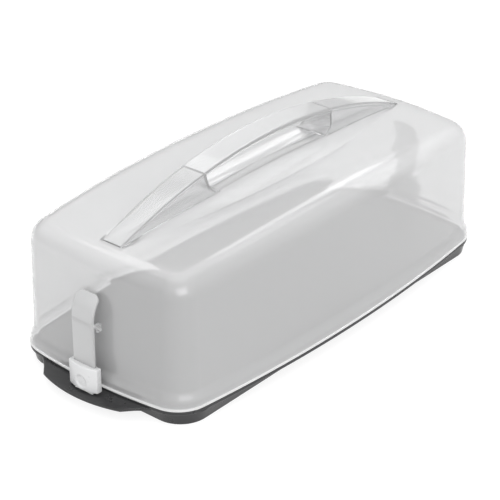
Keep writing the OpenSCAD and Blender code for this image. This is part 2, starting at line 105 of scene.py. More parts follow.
def sizes():
    """The panel's sizes, in millimetres, with the values that follow from them."""
    p = bpy.context.scene.carrier_sizes
    s = {k: getattr(p, k) / MM for k in CarrierSizes.__annotations__}
    s["half_len"], s["half_w"] = s["rim_len"] / 2, s["rim_w"] / 2
    s["draft"] = math.tan(math.radians(1.3))
    s["roll_h"] = s["hood_h"] - s["top_r"]
    s["grip_x"] = s["half_len"] - s["grip_in"]
    s["seat_x"] = s["grip_x"] + 1
    # Half sizes and corner radii of the tray's raised deck and of its foot
    s["deck_x"], s["deck_y"], s["deck_r"] = s["half_len"] - 15, s["half_w"] - 19, 16
    s["foot_x"], s["foot_y"], s["foot_r"] = s["half_len"] - 8, s["half_w"] - 11.5, 21
    s["deck_z"] = FLANGE_Z + 4.3
    return s


# ---- Outline ----

def bow_radius(half_chord, rise):
    """The radius of an arc from half its chord and its rise."""
    return (half_chord ** 2 + rise ** 2) / (2 * rise)


class Outline:
    """The rim's plan: two bowed sides and two bowed ends, joined by corner arcs that touch both."""

    def __init__(self, s):
        self.side_r = s["rim_r"] + bow_radius(s["half_len"] - s["rim_r"] - s["end_bow"], s["side_bow"])
        self.end_r = s["rim_r"] + bow_radius(s["half_w"] - s["rim_r"] - s["side_bow"], s["end_bow"])
        self.side_c = s["half_w"] - self.side_r
        self.end_c = s["half_len"] - self.end_r
        self.rim_r = s["rim_r"]
        a, b = self.side_r - self.rim_r, self.end_r - self.rim_r
        gap = math.hypot(self.end_c, self.side_c)
        along = (a * a - b * b + gap * gap) / (2 * gap)
        off = math.sqrt(a * a - along * along)
        ux, uy = self.end_c / gap, -self.side_c / gap
        self.corner = (along * ux - off * self.side_c / gap, self.side_c + along * uy - off * self.end_c / gap)
        self.a0 = math.atan2(self.corner[1], self.corner[0] - self.end_c)
        self.a1 = math.atan2(self.corner[1] - self.side_c, self.corner[0])

    def quarter(self, d):
        """One quarter, d inside the rim, from the middle of an end to the middle of a side."""
        points = [arm((self.end_c, 0), self.end_r - d, self.a0 * i / END_STEPS) for i in range(END_STEPS)]
        points += [arm(self.corner, self.rim_r - d, self.a0 + (self.a1 - self.a0) * i / CORNER_STEPS)
                   for i in range(CORNER_STEPS + 1)]
        points += [arm((0, self.side_c), self.side_r - d, self.a1 + (math.pi / 2 - self.a1) * i / SIDE_STEPS)
                   for i in range(1, SIDE_STEPS + 1)]
        return points


def arm(centre, r, a):
    """The point at a distance and an angle from a centre."""
    return centre[0] + r * math.cos(a), centre[1] + r * math.sin(a)


def plain_quarter(hx, hy, r):
    """One quarter of a plain rounded rectangle, with as many points as the outline's."""
    points = [(hx, (hy - r) * i / END_STEPS) for i in range(END_STEPS)]
    points += [arm((hx - r, hy - r), r, math.pi / 2 * i / CORNER_STEPS) for i in range(CORNER_STEPS + 1)]
    points += [((hx - r) * (1 - i / SIDE_STEPS), hy) for i in range(1, SIDE_STEPS + 1)]
    return points


def around(q):
    """The whole loop from one quarter."""
    half = q[:-1] + [(-x, y) for x, y in q[:0:-1]]
    return half + [(-x, -y) for x, y in half]


# ---- Mesh helpers ----

def placed(name, data):
    """A new object of the scene that shows the data."""
    ob = bpy.data.objects.new(name, data)
    bpy.context.scene.collection.objects.link(ob)
    return ob


def painted(ob, material):
    """Gives the whole piece one material."""
    ob.data.materials.clear()
    ob.data.materials.append(material)
    ob.data.polygons.foreach_set("material_index", [0] * len(ob.data.polygons))
    return ob


def shaded(ob, smooth_angle):
    """Shades smoothly, with the edges sharp past the angle."""
    ob.data.polygons.foreach_set("use_smooth", [True] * len(ob.data.polygons))
    ob.data.set_sharp_from_angle(angle=math.radians(smooth_angle))
    return ob


def new_piece(name, points, faces, material, smooth_angle=32):
    """A mesh object from points in millimetres, with outward normals and edges sharp past the angle."""
    mesh = bpy.data.meshes.new(name)
    mesh.from_pydata([[c * MM for c in p] for p in points], [], faces)
    mesh.validate()
    ob = placed(name, mesh)
    finish_mesh(ob, smooth_angle)
    if material is not None:
        mesh.materials.append(material)
    return ob


def finish_mesh(ob, smooth_angle):
    """Merges doubles, turns the faces outward and shades smoothly up to the angle."""
    bm = bmesh.new()
    bm.from_mesh(ob.data)
    bmesh.ops.remove_doubles(bm, verts=bm.verts, dist=MERGE)
    bmesh.ops.recalc_face_normals(bm, faces=bm.faces)
    bm.to_mesh(ob.data)
    bm.free()
    shaded(ob, smooth_angle).data.update()


def stacked(loops, first=None, last=None):
    """Points and faces of a skin over a stack of matching loops, closed by a point at each end."""
    n = len(loops[0])
    points = [p for loop in loops for p in loop]
    faces = []
    for j in range(len(loops) - 1):
        for i in range(n):
            k = (i + 1) % n
            faces.append((j * n + i, j * n + k, (j + 1) * n + k, (j + 1) * n + i))
    for middle, j in ((first, 0), (last, len(loops) - 1)):
        if middle is not None:
            points.append(middle)
            faces += [(len(points) - 1, j * n + i, j * n + (i + 1) % n) for i in range(n)]
    return points, faces


def swept(sections):
    """Points and faces of a closed skin over a row of matching cross-sections."""
    n = len(sections[0])
    points, faces = stacked(sections)
    faces.append(tuple(range(n)))
    faces.append(tuple((len(sections) - 1) * n + i for i in range(n)))
    return points, faces


def joined(name, parts, smooth_angle):
    """One piece out of several, keeping the first one's material."""
    bm = bmesh.new()
    for part in parts:
        bm.from_mesh(part.data)
    keep = parts[0].data.materials[0]
    mesh = bpy.data.meshes.new(name)
    bm.to_mesh(mesh)
    bm.free()
    for part in parts:
        bpy.data.objects.remove(part)
    return painted(shaded(placed(name, mesh), smooth_angle), keep)


def applied(ob):
    """The object's evaluated mesh in place of its own, with its modifiers removed."""
    mesh = bpy.data.meshes.new_from_object(ob.evaluated_get(bpy.context.evaluated_depsgraph_get()))
    ob.modifiers.clear()
    ob.data = mesh
    return ob


def carved(ob, tool, operation="DIFFERENCE", smooth_angle=32):
    """Cuts the tool out of the object, or adds it, and drops the tool."""
    modifier = ob.modifiers.new("carve", "BOOLEAN")
    modifier.operation = operation
    modifier.solver = "EXACT"
    modifier.object = tool
    applied(ob)
    bpy.data.objects.remove(tool)
    finish_mesh(ob, smooth_angle)
    return ob


def block(side, near, far, half, z0, z1):
    """A plain box at one end of the carrier that only serves as a cutting tool."""
    xs = sorted((side * near, side * far))
    points = [(x, y, z) for z in (z0, z1) for y in (-half, half) for x in xs]
    faces = [(0, 2, 3, 1), (4, 5, 7, 6), (0, 1, 5, 4), (2, 6, 7, 3), (0, 4, 6, 2), (1, 3, 7, 5)]
    return new_piece("tool", points, faces, None)


# ---- Materials ----

PLASTIC_IOR, BUMP_DEPTH, SHEEN_ROUGHNESS = 1.49, 0.00001, 0.3
# The share of the light that each clear surface holds back from what it covers
SHADOW_SHARE = 0.1
# The painted highlight on the hood's foot: how strongly its lowest band emits light, and how many millimetres of it
# glow
PAINTED_RIM_HIGHLIGHT, PAINTED_RIM_HIGHLIGHT_H = 0.16, 1.8


def named_tree(name, kind, inputs, outputs):
    """An empty node tree with named sockets: (name, type, default) or (name, type) each."""
    tree = bpy.data.node_groups.new(name, kind)
    for in_out, sockets in (("INPUT", inputs), ("OUTPUT", outputs)):
        for label, socket_kind, *default in sockets:
            socket = tree.interface.new_socket(name=label, in_out=in_out, socket_type="NodeSocket" + socket_kind)
            for value in default:
                socket.default_value = value
    return tree, tree.nodes.new("NodeGroupInput"), tree.nodes.new("NodeGroupOutput")


def feed(tree, socket, value):
    """Links another node's output to the socket, or sets the socket to a plain value."""
    if isinstance(value, bpy.types.NodeSocket):
        tree.links.new(value, socket)
    else:
        socket.default_value = value


def built(tree, kind, inputs=None, **settings):
    """A new node with its settings made and its inputs fed, each by name or number."""
    node = tree.nodes.new(kind)
    for label, value in settings.items():
        setattr(node, label, value)
    for label, value in (inputs or {}).items():
        feed(tree, node.inputs[label], value)
    return node


def noise(tree, vector, scale, detail, rough=0.5):
    return built(tree, "ShaderNodeTexNoise",
                 {"Vector": vector, "Scale": scale, "Detail": detail, "Roughness": rough}).outputs["Fac"]


def math_node(tree, operation, a, b=0.0):
    return built(tree, "ShaderNodeMath", {0: a, 1: b}, operation=operation).outputs[0]


def vector_node(tree, x, y, z):
    return built(tree, "ShaderNodeCombineXYZ", {"X": x, "Y": y, "Z": z}).outputs[0]


def moulded_skin():
    """The skin of moulded plastic: fine grain, slow changes of gloss and tint from its flow, and a painted highlight:
    an emission band along the lowest millimetres of the foot.
    """
    found = bpy.data.node_groups.get("moulded_skin")
    if found:
        return found
    tree, gin, gout = named_tree(
        "moulded_skin", "ShaderNodeTree",
        [("Vector", "Vector", (0, 0, 0)), ("Tint", "Color", (0.8, 0.8, 0.8, 1)), ("Tint Change", "Float", 0.03),
         ("Roughness", "Float", 0.3), ("Gloss Change", "Float", 0.06), ("Grain Scale", "Float", 2500.0),
         ("Grain", "Float", 1.0), ("Wave", "Float", 0.0), ("Edge Glow", "Float", 0.0), ("Edge Height", "Float", 0.0)],
        [("Colour", "Color"), ("Roughness", "Float"), ("Height", "Float"), ("Glow", "Color")])
    value = gin.outputs
    vector = value["Vector"]

    def m(operation, a, b):
        return math_node(tree, operation, a, b)

    flow = m("MULTIPLY", m("SUBTRACT", noise(tree, vector, 18.0, 3.0), 0.5), value["Tint Change"])
    tint = built(tree, "ShaderNodeVectorMath", {0: value["Tint"], "Scale": m("ADD", flow, 1.0)}, operation="SCALE")
    smear = m("MULTIPLY", m("SUBTRACT", noise(tree, vector, 70.0, 4.0, 0.6), 0.5), value["Gloss Change"])
    wave = m("MULTIPLY", noise(tree, vector, 22.0, 1.0), value["Wave"])
    grain = m("MULTIPLY", noise(tree, vector, value["Grain Scale"], 2.0), value["Grain"])
    split = built(tree, "ShaderNodeSeparateXYZ", {0: vector})
    # Painted highlight: everything below the given height glows, as a bright line along the rim's lower edge
    painted_highlight_band = m("LESS_THAN", split.outputs["Z"], value["Edge Height"])
    for label, result in (("Colour", tint.outputs[0]), ("Roughness", m("ADD", smear, value["Roughness"])),
                          ("Height", m("ADD", wave, grain)), ("Glow", m("MULTIPLY", painted_highlight_band, value["Edge Glow"]))):
        tree.links.new(result, gout.inputs[label])
    return tree


def let_light_in(tree, shader):
    """Lets light through to what the plastic covers."""
    path = built(tree, "ShaderNodeLightPath")
    held = math_node(tree, "MULTIPLY", path.outputs["Is Shadow Ray"], 1.0 - SHADOW_SHARE)
    tree.links.new(math_node(tree, "SUBTRACT", 1.0, held), shader.inputs["Alpha"])


def moulded_plastic(name, tint, roughness, transmission=0.0, grain_scale=2500.0, grain=1.0, wave=0.0,
                    tint_change=0.03, gloss_change=0.06, sheen=0.0):
    """A Principled plastic whose tint, gloss and grain come from the moulded skin."""
    found = bpy.data.materials.get(name)
    if found:
        return found
    material = bpy.data.materials.new(name)
    material.use_nodes = True
    tree = material.node_tree
    shader = tree.nodes["Principled BSDF"]
    place = built(tree, "ShaderNodeTexCoord")
    skin = built(tree, "ShaderNodeGroup", {
        "Vector": place.outputs["Object"], "Tint": tint, "Tint Change": tint_change, "Roughness": roughness,
        "Gloss Change": gloss_change, "Grain Scale": grain_scale, "Grain": grain, "Wave": wave,
    }, name="Skin", node_tree=moulded_skin()).outputs
    bump = built(tree, "ShaderNodeBump", {"Distance": BUMP_DEPTH, "Strength": 1.0, "Height": skin["Height"]})
    for label, value in (("Base Color", skin["Colour"]), ("Roughness", skin["Roughness"]),
                         ("Normal", bump.outputs["Normal"]), ("IOR", PLASTIC_IOR),
                         ("Transmission Weight", transmission), ("Coat Weight", sheen),
                         ("Coat Roughness", SHEEN_ROUGHNESS)):
        feed(tree, shader.inputs[label], value)
    if transmission > 0:
        let_light_in(tree, shader)
    return material


def finish():
    return bpy.context.scene.carrier_finish


def hood_material():
    """Milky clear plastic with a painted highlight: the rim's lowest edge emits light, standing in for a bright edge
    line.
    """
    material = moulded_plastic("clear_hood_plastic", finish().hood, 0.05, transmission=0.74, grain=0.0, wave=1.0,
                               tint_change=0.015, gloss_change=0.03, sheen=0.5)
    tree = material.node_tree
    skin, shader = tree.nodes["Skin"], tree.nodes["Principled BSDF"]
    # Painted highlight: the rim's lowest band emits light as a bright edge line; no lamp lights it
    skin.inputs["Edge Glow"].default_value = PAINTED_RIM_HIGHLIGHT
    skin.inputs["Edge Height"].default_value = (RIM_Z + PAINTED_RIM_HIGHLIGHT_H) * MM
    shader.inputs["Emission Strength"].default_value = 1.0
    tree.links.new(skin.outputs["Glow"], shader.inputs["Emission Color"])
    return material


def handle_material():
    return moulded_plastic("handle_plastic", finish().handle, 0.1, transmission=0.72, grain=0.0, wave=1.0,
                           tint_change=0.015, gloss_change=0.03)


def lever_material():
    return moulded_plastic("lever_plastic", finish().lever, 0.14, transmission=0.55, grain=0.2)


def cap_material():
    return moulded_plastic("cap_plastic", finish().cap, 0.28, grain=0.5)


def tray_material():
    return moulded_plastic("tray_plastic", finish().tray, 0.28, grain_scale=1800.0, grain=0.25, tint_change=0.12,
                           gloss_change=0.08)


# ---- Tray ----

def level(q, z):
    """A loop at one height from one quarter."""
    return [(x, y, z) for x, y in around(q)]


def eased_edge(make, d, z, r, steps):
    """Loops over a rounded upper edge, from its level top out and down to its upright side."""
    turns = [math.radians(90 * i / steps) for i in range(steps + 1)]
    return [make(d + r * (1 - math.sin(a)), z - r * (1 - math.cos(a))) for a in turns]


def tray_loops(s, outline):
    """The tray's skin, from the deck out over the flange, down the skirt and back up inside it."""
    under, flange_under = s["deck_z"] - TRAY_WALL, FLANGE_Z - FLANGE_T
    bead, lean, wall, deck_round, flange_round = 2.8, 1.5, TRAY_WALL, 1.6, 0.7

    def inside(part, d):
        return plain_quarter(*(s[part + size] - d for size in ("_x", "_y", "_r")))

    def deck(d, z):
        return level(inside("deck", d), z)

    def foot(d, z):
        return level(inside("foot", d), z)

    def rim(d, z):
        return level(outline.quarter(d), z)

    loops = [level([(x * f, y * f) for x, y in inside("deck", 3)], s["deck_z"]) for f in (0.3, 0.65, 1)]
    loops += eased_edge(deck, 0, s["deck_z"], deck_round, 6)
    loops += [deck(-d, FLANGE_Z + h) for d, h in ((0.4, 1), (0.7, 0.3), (1.3, 0))]
    loops += [rim(bead + d, FLANGE_Z + h) for d, h in ((1.9, 0), (1.7, 0.2), (1.3, 1.7), (1.0, 2), (0.5, 2),
                                                       (0.1, 1.7), (0, 1.4), (0, 0))]
    loops += eased_edge(rim, FLANGE_IN, FLANGE_Z, flange_round, 4)
    loops += [rim(FLANGE_IN + d, flange_under + h) for d, h in ((0, 0.5), (0.2, 0.15), (0.6, 0))]
    loops += [foot(-lean - d, flange_under - h) for d, h in ((0.8, 0), (0.2, 0.2), (0, 0.8))]
    loops += [foot(d, z) for d, z in ((0, 1.2), (0.15, 0.4), (0.6, 0), (3, 0), (3, 0.8),
                                      (wall - lean + 0.4, flange_under - 1), (wall - lean + 1.2, FLANGE_Z - wall))]
    loops += [deck(wall + d, z) for d, z in ((-1.2, FLANGE_Z - wall), (-0.2, under - 1), (0.8, under))]
    return loops, under


def tab_piece(s, side, material):
    """A grip tab that goes on from the flange, with a slot for the clip's catch."""
    out, bow, front, root, thick = 16, 6, 35, 50, 2
    neck_x, neck_y, foot_x = s["half_len"] + 3.2, root - 8.5, s["half_len"] - 4
    catch_w, slot_from, slot_to = 18, s["half_len"] - 2.3, s["half_len"] + 8.4
    r = bow_radius(front, bow)
    a = math.asin(front / r)
    centre = s["half_len"] + out - r

    def top(x):
        return FLANGE_Z - 1.2 - 0.6 * max(0, x - s["half_len"]) / out

    def ring(d, drop):
        q = [(s["foot_x"], d - root), (foot_x, d - root), (neck_x, d - neck_y)]
        q += [arm((centre, 0), r - d, a * i / 14) for i in range(-14, 15)]
        q += [(neck_x, neck_y - d), (foot_x, root - d), (s["foot_x"], root - d)]
        return [(side * x, y, top(x) - drop) for x, y in q]

    rings = [ring(0.9 * (1 - math.cos(b)), thick / 2 + thick / 2 * math.sin(b))
             for b in [math.radians(-90 + 30 * i) for i in range(7)]]
    x = s["half_len"]
    ob = new_piece("tab", *stacked(rings, (side * x, 0, top(x)), (side * x, 0, top(x) - thick)), material)
    return carved(ob, block(side, slot_from, slot_to, catch_w / 2, 0, FLANGE_Z - 0.3))


def geometry_tree(name, lengths):
    """An empty geometry tree with the named lengths, a material and a geometry output."""
    inputs = [(label, "Float", default) for label, default in lengths] + [("Material", "Material")]
    return named_tree(name, "GeometryNodeTree", inputs, [("Geometry", "Geometry")])


def rib_tree():
    """Crossed stiffening ribs: bars set on two rows of points."""
    tree, gin, gout = geometry_tree("underside_ribs", (
        ("Long Rib", 0.264), ("Cross Rib", 0.119), ("Long Pitch", 0.0559), ("Cross Pitch", 0.0895),
        ("Thickness", 0.0016), ("Depth", 0.0035), ("Middle Height", 0.0121)))
    join = built(tree, "GeometryNodeJoinGeometry")
    height, thick, deep = (gin.outputs[label] for label in ("Middle Height", "Thickness", "Depth"))
    for bar, pitch, count, lengthways in (("Long Rib", "Long Pitch", 2, True), ("Cross Rib", "Cross Pitch", 3, False)):
        run, step = gin.outputs[bar], gin.outputs[pitch]
        first = math_node(tree, "MULTIPLY", step, -(count - 1) / 2)
        start, offset, size = (
            vector_node(tree, *((along, across) if lengthways else (across, along)), up)
            for along, across, up in ((0.0, first, height), (0.0, step, 0.0), (run, thick, deep)))
        line = built(tree, "GeometryNodeMeshLine", {"Count": count, "Start Location": start, "Offset": offset})
        cube = built(tree, "GeometryNodeMeshCube", {"Size": size})
        bars = built(tree, "GeometryNodeInstanceOnPoints",
                     {"Points": line.outputs["Mesh"], "Instance": cube.outputs["Mesh"]})
        tree.links.new(bars.outputs["Instances"], join.inputs["Geometry"])
    close_tree(tree, gin, gout, join.outputs["Geometry"])
    return tree


def close_tree(tree, gin, gout, geometry):
    """Ends a tree in Realize Instances and Set Material."""
    real = built(tree, "GeometryNodeRealizeInstances", {"Geometry": geometry})
    paint = built(tree, "GeometryNodeSetMaterial",
                  {"Geometry": real.outputs["Geometry"], "Material": gin.outputs["Material"]})
    tree.links.new(paint.outputs["Geometry"], gout.inputs["Geometry"])


def grown(name, tree, values):
    """A plain mesh object from a geometry tree with the given named inputs."""
    ob = placed(name, bpy.data.meshes.new(name))
    modifier = ob.modifiers.new("rule", "NODES")
    modifier.node_group = tree
    sockets = {i.name: i.identifier for i in tree.interface.items_tree if i.in_out == "INPUT"}
    for label, value in values.items():
        modifier[sockets[label]] = value
    return painted(applied(ob), values["Material"])


class CARRIER_OT_tray(bpy.types.Operator):
    """Builds the dark tray with its flange, skirt, ribs and grip tabs"""
    bl_idname = "carrier.tray"
    bl_label = "Tray"

    def execute(self, context):
        s = sizes()
        material = tray_material()
        loops, under = tray_loops(s, Outline(s))
        body = new_piece("tray_body", *stacked(loops, (0, 0, s["deck_z"]), (0, 0, under)), material, 28)
        ribs = grown("tray_ribs", rib_tree(), {
            "Long Rib": (2 * s["deck_x"] - 50) * MM, "Cross Rib": (2 * s["deck_y"] - 14) * MM,
            "Long Pitch": 0.84 * s["deck_y"] * MM, "Cross Pitch": 0.57 * s["deck_x"] * MM,
            "Middle Height": (under - 1.25) * MM, "Material": material})
        tray = joined("tray", [body, tab_piece(s, -1, material), tab_piece(s, 1, material), ribs], 28)
        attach(tray, "tray")
        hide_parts("base_tray")
        return {"FINISHED"}


# ---- Hood ----

# Millimetres: half widths, rise, sink and valley of the handle's raised seat, and the land that the cheeks stand on
SEAT_MID, SEAT_END, SEAT_RISE, SEAT_SINK, SEAT_VALLEY, LAND_W = 30.5, 9.6, 2.7, 1.6, 1.8, 2.6
# Half length of the hand gap at the seat, and the half widths of the cheeks' feet
HAND_X, CHEEK_MID, CHEEK_END = 55.5, 13.4, 8.6
# How far the roll draws the middles of the bowed long sides in
ROLL_EASE = 7.5


def share(x, to):
    """A parabola's height: 1 in the middle, 0 from the given distance outwards."""
    return max(0.0, 1 - (x / to) ** 2)


class Top:
    """Heights of the hood's crowned top, with the raised seat of the handle."""

    def __init__(self, s):
        self.s = s
        inset = wall_in(s, s["roll_h"])
        self.span_x, self.span_y = s["half_len"] - inset, s["half_w"] - inset

    def crown(self, x, y):
        return self.s["crown_long"] * share(x, self.span_x) + self.s["crown_across"] * share(y, self.span_y)

    def foot_w(self, x):
        t = (self.s["grip_x"] - abs(x)) / (self.s["grip_x"] - HAND_X)
        return CHEEK_END + (CHEEK_MID - CHEEK_END) * max(0.0, min(1.0, t))

    def seat_w(self, x):
        return SEAT_END + (SEAT_MID - SEAT_END) * share(x, self.s["seat_x"])

    def raised(self, x, y):
        f, w, seat_x = self.foot_w(x) + 0.3, self.seat_w(x), self.s["seat_x"]
        if abs(x) >= seat_x or abs(y) >= w:
            return 0.0
        crest = (SEAT_RISE + SEAT_SINK) * share(x, seat_x) - SEAT_SINK
        if abs(y) <= f:
            return crest - SEAT_VALLEY * share(x, seat_x) * share(y, self.foot_w(x) - LAND_W)
        return crest * (w - abs(y)) / (w - f)

    def z(self, x, y):
        return RIM_Z + self.s["hood_h"] + self.crown(x, y) + self.raised(x, y)


def wall_in(s, h):
    """How far inside the rim's outline the outer wall stands at a height above the rim's foot."""
    return RIM_OUT + (h - RIM_H) * s["draft"]


def straightened(s, loop, ease):
    """Draws the bowed long sides in towards a straight line, so that the roll is widest in their middles."""
    span = s["half_len"] - s["rim_r"]
    return [(x, y - math.copysign(ROLL_EASE * ease * share(x, span) ** 1.5, y)) for x, y in loop]


def hood_profile(s):
    """[distance inside the rim, height above the rim's lower edge, share of the crown], outer wall then inner."""
    t, roll = s["hood_t"], s["roll_h"]
    turns = [math.radians(7.5 * i) for i in range(13)]
    face, high, low = 0.7, RIM_H + 5, RIM_H - 3.5
    at_flare = wall_in(s, high)
    flare = [(u * u * (3 - 2 * u), high + (low - high) * u) for u in [i / 10 for i in range(11)]]

    def rolled(a, wall):
        r = s["top_r"] - wall
        return wall_in(s, roll) + wall + r * (1 - math.cos(a)), roll + r * math.sin(a), 1

    outer = [rolled(a, 0) for a in reversed(turns)]
    outer += [(at_flare + (face - at_flare) * f, h, 0) for f, h in flare]
    outer += [(face, 2.2, 0), (face - 0.1, 1.9, 0), (0.25, 1.6, 0), (0.05, 1.3, 0), (0, 0.9, 0), (0.05, 0.45, 0),
              (0.25, 0.12, 0), (0.6, 0, 0)]
    inner = [(t - 0.4, 0, 0), (t - 0.1, 0.15, 0), (t, 0.6, 0)]
    inner += [(t + (at_flare - 0.1) * (1 - f), h - 0.7, 0) for f, h in reversed(flare)]
    inner += [rolled(a, t) for a in turns]
    return outer, inner


def top_rings(s, outline, top, drop):
    """From the middle of the top out to its rolled edge."""
    q = straightened(s, outline.quarter(wall_in(s, s["roll_h"]) + s["top_r"]), 1)
    m = len(q)
    along = [s["seat_x"] if j <= END_STEPS else s["seat_x"] * q[j][0] / q[END_STEPS][0] for j in range(m)]

    def seat(reach, width):
        return around([(reach * along[j], width(along[j]) * min(1, j / END_STEPS)) for j in range(m)])

    flat = [seat(0.985 + 0.003 * f, lambda x, f=f: f * (top.foot_w(x) - LAND_W))
            for f in (0.2, 0.4, 0.6, 0.8, 0.92, 1)]
    flat += [seat(reach, lambda x, d=d: top.foot_w(x) + d)
             for reach, d in ((0.9895, -1.2), (0.992, 0.1), (0.9935, 0.5))]
    edge, outer = seat(1, top.seat_w), around(q)
    inside = seat(0.9965, lambda x: top.foot_w(x) + 0.5 * (top.seat_w(x) - top.foot_w(x)))
    flat += [inside, edge]
    flat += [[(a[0] + (b[0] - a[0]) * f, a[1] + (b[1] - a[1]) * f) for a, b in zip(edge, outer)]
             for f in (0.04, 0.2, 0.4, 0.6, 0.8)]
    return [[(x, y, top.z(x, y) - drop) for x, y in loop] for loop in flat]


def turned(r, start, end, steps):
    """Points on an arc about the origin."""
    return [arm((0, 0), r, start + (end - start) * i / steps) for i in range(steps + 1)]


def claw_parts(s, side, material):
    """Two claws on the end wall that the lever's bead snaps into."""
    lever = Lever(s)
    reach, hole, half_mouth, wide, inset = BEAD_R + 1.26, BEAD_R + 0.06, 1.05, 3, 0.9
    mouth_a = math.radians(RIB_TILT + 1.4)
    open_a, outer_a = math.asin(half_mouth / hole), math.asin(half_mouth / reach)
    shape = turned(hole, mouth_a + open_a, mouth_a - open_a + 2 * math.pi, 14)
    shape += turned(reach, mouth_a - outer_a, -math.pi / 2, 7)
    shape += [(-reach - inset, -reach), (-reach - inset, reach)]
    shape += turned(reach, math.pi / 2, mouth_a + outer_a, 5)
    parts = []
    for y0 in (-7.5, 7.5 - wide):
        sections = [[(side * (lever.pivot_x + x), y, lever.pivot_z + z) for x, z in shape] for y in (y0, y0 + wide)]
        parts.append(new_piece("claw", *swept(sections), material))
    return parts


class CARRIER_OT_hood(bpy.types.Operator):
    """Builds the clear hood with its rim, rolled edge, crowned top and hinge claws"""
    bl_idname = "carrier.hood"
    bl_label = "Hood"

    def execute(self, context):
        s = sizes()
        outline, top = Outline(s), Top(s)
        at_roll = wall_in(s, s["roll_h"])
        edge = straightened(s, around(outline.quarter(at_roll + s["top_r"])), 1)
        outer, inner = hood_profile(s)

        def ring(d, h, crowned, wall):
            ease = max(0.0, d - at_roll - wall) / s["top_r"] if crowned else 0
            loop = straightened(s, around(outline.quarter(d)), min(1, ease))
            return [(p[0], p[1], RIM_Z + h + crowned * top.crown(*e)) for p, e in zip(loop, edge)]

        loops = top_rings(s, outline, top, 0)
        loops += [ring(*entry, 0) for entry in outer] + [ring(*entry, s["hood_t"]) for entry in inner]
        loops += list(reversed(top_rings(s, outline, top, s["hood_t"])))
        z = top.z(0, 0)
        material = hood_material()
        shell = new_piece("hood_shell", *stacked(loops, (0, 0, z), (0, 0, z - s["hood_t"])), material, 24)
        hood = joined("clear_hood", [shell] + claw_parts(s, -1, material) + claw_parts(s, 1, material), 24)
        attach(hood, "hood")
        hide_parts("hood")
        return {"FINISHED"}


# ---- Handle ----

class Handle:
    """The arched strap and the hollow cheeks under it."""

    def __init__(self, s):
        self.s, self.top = s, Top(s)
        self.end_z = RIM_Z + s["hood_h"] + self.top.crown(s["grip_x"], 0) + 0.3
        self.web_sweep, self.web_h, self.web_t, self.cheek_t = 11.5, 15, 2, 1.8

    def strap_z(self, x):
        return self.end_z + self.s["grip_rise"] * share(x, self.s["grip_x"])

    def strap_w(self, x):
        return self.s["strap_end"] + self.s["strap_swell"] * share(x, self.s["grip_x"])

    def foot_z(self, x):
        return self.top.z(x, self.top.foot_w(x)) + 0.2

    def web_z(self, x):
        if x >= HAND_X + self.web_sweep:
            return 1000.0
        run = max(0.0, x - HAND_X) / self.web_sweep
        return self.foot_z(HAND_X) + self.web_h * (1 - math.sqrt(1 - run * run))

    def side(self, x, z):
        f = self.top.foot_w(x)
        return f + (self.strap_w(x) - f) * (z - self.foot_z(x)) / (self.strap_z(x) - self.foot_z(x))

    def section(self, x, end):
        zf = self.foot_z(x)
        zr = max(min(self.strap_z(x) - 0.5, self.web_z(x)), zf + 0.8)
        low = 0.15 if x < HAND_X + self.web_sweep else 0.45
        zc = max(zf + low, min(self.strap_z(x) - self.s["strap_t"] + 0.6, self.web_z(x - self.web_t) - 0.4))
        zc = min(zc, zr - 0.3)
        wf = self.side(x, zf)
        wr = self.side(x, zr) if zr > self.web_z(x) - 0.1 else min(self.side(x, zr), self.strap_w(x) - 0.3)
        wc, t = self.side(x, zc), self.cheek_t
        half = [(-wf, zf), (-wf + t, zf), (-wc + t, zc)]
        roof = [(-wr, zr - 0.5), (-wr + 0.2, zr - 0.3), (-wr + 0.8, zr)]
        ring = half + [(-y, z) for y, z in reversed(half)] + [(-y, z) for y, z in roof] + roof[::-1]
        return [(end * x, y, z) for y, z in ring]


def strap_tree():
    """The arched strap: a band whose height and width follow the handle's rule."""
    tree, gin, gout = geometry_tree("arched_strap", (
        ("Half Length", 0.148), ("Rise", 0.0296), ("End Height", 0.1055), ("Half Width", 0.0078), ("Swell", 0.0023),
        ("Thickness", 0.0022), ("End Thickness", 0.0009), ("Edge", 0.0008)))
    value = gin.outputs

    def m(operation, a, b=0.0):
        return math_node(tree, operation, a, b)

    grid = built(tree, "GeometryNodeMeshGrid", {
        "Size X": m("MULTIPLY", value["Half Length"], 2.0), "Size Y": 2.0, "Vertices X": 121, "Vertices Y": 25})
    split = built(tree, "ShaderNodeSeparateXYZ", {0: built(tree, "GeometryNodeInputPosition").outputs[0]})
    x, y = split.outputs["X"], split.outputs["Y"]
    arch = m("SUBTRACT", 1.0, m("POWER", m("ABSOLUTE", m("DIVIDE", x, value["Half Length"])), 2.0))
    width = m("ADD", value["Half Width"], m("MULTIPLY", value["Swell"], arch))
    across = m("SINE", m("MULTIPLY", y, math.pi / 2))
    eased = m("MULTIPLY", value["Edge"], m("POWER", m("ABSOLUTE", across), 24.0))
    height = m("SUBTRACT", m("ADD", value["End Height"], m("MULTIPLY", value["Rise"], arch)), eased)
    bend = built(tree, "GeometryNodeSetPosition", {
        "Geometry": grid.outputs["Mesh"], "Position": vector_node(tree, x, m("MULTIPLY", across, width), height)})
    thick = m("MINIMUM", value["Thickness"], m("ADD", value["End Thickness"], m("MULTIPLY", arch, 0.02)))
    thick = m("SUBTRACT", thick, m("MULTIPLY", eased, 2.0))
    grow = built(tree, "GeometryNodeExtrudeMesh", {
        "Mesh": bend.outputs["Geometry"], "Offset": vector_node(tree, 0.0, 0.0, m("MULTIPLY", thick, -1.0)),
        "Individual": False}, mode="FACES")
    join = built(tree, "GeometryNodeJoinGeometry")
    for sheet in (grow.outputs["Mesh"], bend.outputs["Geometry"]):
        tree.links.new(sheet, join.inputs["Geometry"])
    weld = built(tree, "GeometryNodeMergeByDistance", {"Geometry": join.outputs["Geometry"], "Distance": MERGE})
    close_tree(tree, gin, gout, weld.outputs["Geometry"])
    return tree


